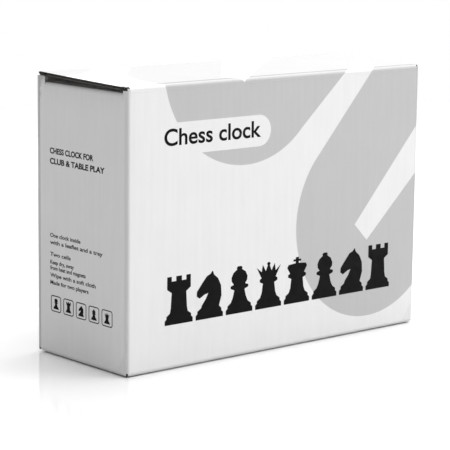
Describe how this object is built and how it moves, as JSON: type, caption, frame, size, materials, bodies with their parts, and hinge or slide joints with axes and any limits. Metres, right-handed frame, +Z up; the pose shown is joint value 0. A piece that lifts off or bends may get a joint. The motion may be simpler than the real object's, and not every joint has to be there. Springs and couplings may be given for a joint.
{
  "type": "boxed chess clock",
  "caption": "Digital chess clock in its retail carton: tuck-top corrugated box with hinged lid and dust flaps, holding a rocker clock in a board cradle.",
  "frame": {"origin": "centre of the carton underside, on the surface it stands on", "axes": "+X to the right across the front panel, +Y from front to back, +Z up"},
  "size_m": [0.165, 0.06, 0.1178],
  "materials": {
    "carton_board": "white coated and printed outside, grey recycled liner and fluting inside",
    "cradle_board": "uncoated recycled board",
    "leaflet_paper": "uncoated offset paper",
    "clock_plastic": "fine moulded texture",
    "rocker_plastic": "satin silver grey",
    "key_plastic": "satin",
    "soft_pad": "soft touch",
    "window_clear": "clear hard-coated",
    "lcd_glass": "reflective display behind a polariser",
    "frame_plastic": "moulded",
    "contact_rubber": "conductive strip",
    "circuit_board": "solder mask",
    "component_black": "moulded package",
    "pipe_clear": "tinted light pipe",
    "led_white": "moulded package",
    "plated_steel": "zinc plated",
    "magnet_nickel": "nickel plated",
    "cell_sleeve": "printed sleeve"
  },
  "bodies": {
    "root": {"front_panel": "carton_board", "back_panel": "carton_board", "left_panel": "carton_board", "right_panel": "carton_board", "glue_flap": "carton_board", "bottom_flap_front": "carton_board", "bottom_flap_back": "carton_board", "bottom_flap_left": "carton_board", "bottom_flap_right": "carton_board", "inner_cradle": "cradle_board", "leaflet": "leaflet_paper", "clock_front_shell": "clock_plastic", "clock_rear_shell": "clock_plastic", "battery_door": "clock_plastic", "rocker_bracket": "clock_plastic", "battery_tray": "clock_plastic", "case_screws": "plated_steel", "pcb_screws": "plated_steel", "bracket_screws": "plated_steel", "rocker_axle": "plated_steel", "battery_springs": "plated_steel", "battery_contacts": "plated_steel", "battery_door_screw": "plated_steel", "clock_feet": "soft_pad", "rocker_stops": "soft_pad", "lcd_window": "window_clear", "lcd_panel": "lcd_glass", "display_frame": "frame_plastic", "zebra_strips": "contact_rubber", "main_pcb": "circuit_board", "sensor_board": "circuit_board", "tact_switches": "component_black", "control_chip": "component_black", "buzzer": "component_black", "hall_sensors": "component_black", "power_switch_body": "component_black", "light_pipes": "pipe_clear", "indicator_leds": "led_white", "battery_cells": "cell_sleeve"},
    "lid": {"lid_panel": "carton_board"},
    "tuck": {"tuck_flap": "carton_board"},
    "dust_left": {"dust_flap_left": "carton_board"},
    "dust_right": {"dust_flap_right": "carton_board"},
    "rocker": {"rocker_lever": "rocker_plastic", "rocker_magnets": "magnet_nickel", "rocker_pads": "soft_pad"},
    "slider": {"power_slider": "key_plastic"},
    "key_1": {"function_key_1": "key_plastic"},
    "key_2": {"function_key_2": "key_plastic"},
    "key_3": {"function_key_3": "key_plastic"},
    "key_4": {"function_key_4": "key_plastic"},
    "key_5": {"function_key_5": "key_plastic"}
  },
  "joints": [
    {"name": "lid_hinge", "type": "hinge", "parent": "root", "child": "lid", "pos_m": [0, -0.03, 0.117], "axis": [1, 0, 0], "range_deg": [0, 200]},
    {"name": "tuck_crease", "type": "hinge", "parent": "lid", "child": "tuck", "pos_m": [0, 0.02819, 0.11781], "axis": [1, 0, 0], "range_deg": [0, 90.5]},
    {"name": "dust_left_crease", "type": "hinge", "parent": "root", "child": "dust_left", "pos_m": [-0.0825, 0, 0.1152], "axis": [0, -1, 0], "range_deg": [0, 90.5]},
    {"name": "dust_right_crease", "type": "hinge", "parent": "root", "child": "dust_right", "pos_m": [0.0825, 0, 0.1152], "axis": [0, 1, 0], "range_deg": [0, 90.5]},
    {"name": "key_1_press", "type": "slide", "parent": "root", "child": "key_1", "axis": [0, 1, 0], "range_m": [0, 0.0008], "stiffness_N_per_m": 200, "springref_m": -0.0006},
    {"name": "key_2_press", "type": "slide", "parent": "root", "child": "key_2", "axis": [0, 1, 0], "range_m": [0, 0.0008], "stiffness_N_per_m": 200, "springref_m": -0.0006},
    {"name": "key_3_press", "type": "slide", "parent": "root", "child": "key_3", "axis": [0, 1, 0], "range_m": [0, 0.0008], "stiffness_N_per_m": 200, "springref_m": -0.0006},
    {"name": "key_4_press", "type": "slide", "parent": "root", "child": "key_4", "axis": [0, 1, 0], "range_m": [0, 0.0008], "stiffness_N_per_m": 200, "springref_m": -0.0006},
    {"name": "key_5_press", "type": "slide", "parent": "root", "child": "key_5", "axis": [0, 1, 0], "range_m": [0, 0.0008], "stiffness_N_per_m": 200, "springref_m": -0.0006},
    {"name": "rocker_pivot", "type": "hinge", "parent": "root", "child": "rocker", "pos_m": [0, -0.003, 0.1023], "axis": [0, -1, 0], "range_deg": [0, 5.2]},
    {"name": "power_slide", "type": "slide", "parent": "root", "child": "slider", "axis": [1, 0, 0], "range_m": [0, 0.004]}
  ],
  "couplings": [
    {"joint": "tuck_crease", "follows": "lid_hinge", "ratio": 0.45},
    {"joint": "dust_left_crease", "follows": "lid_hinge", "ratio": 0.45},
    {"joint": "dust_right_crease", "follows": "lid_hinge", "ratio": 0.45}
  ]
}
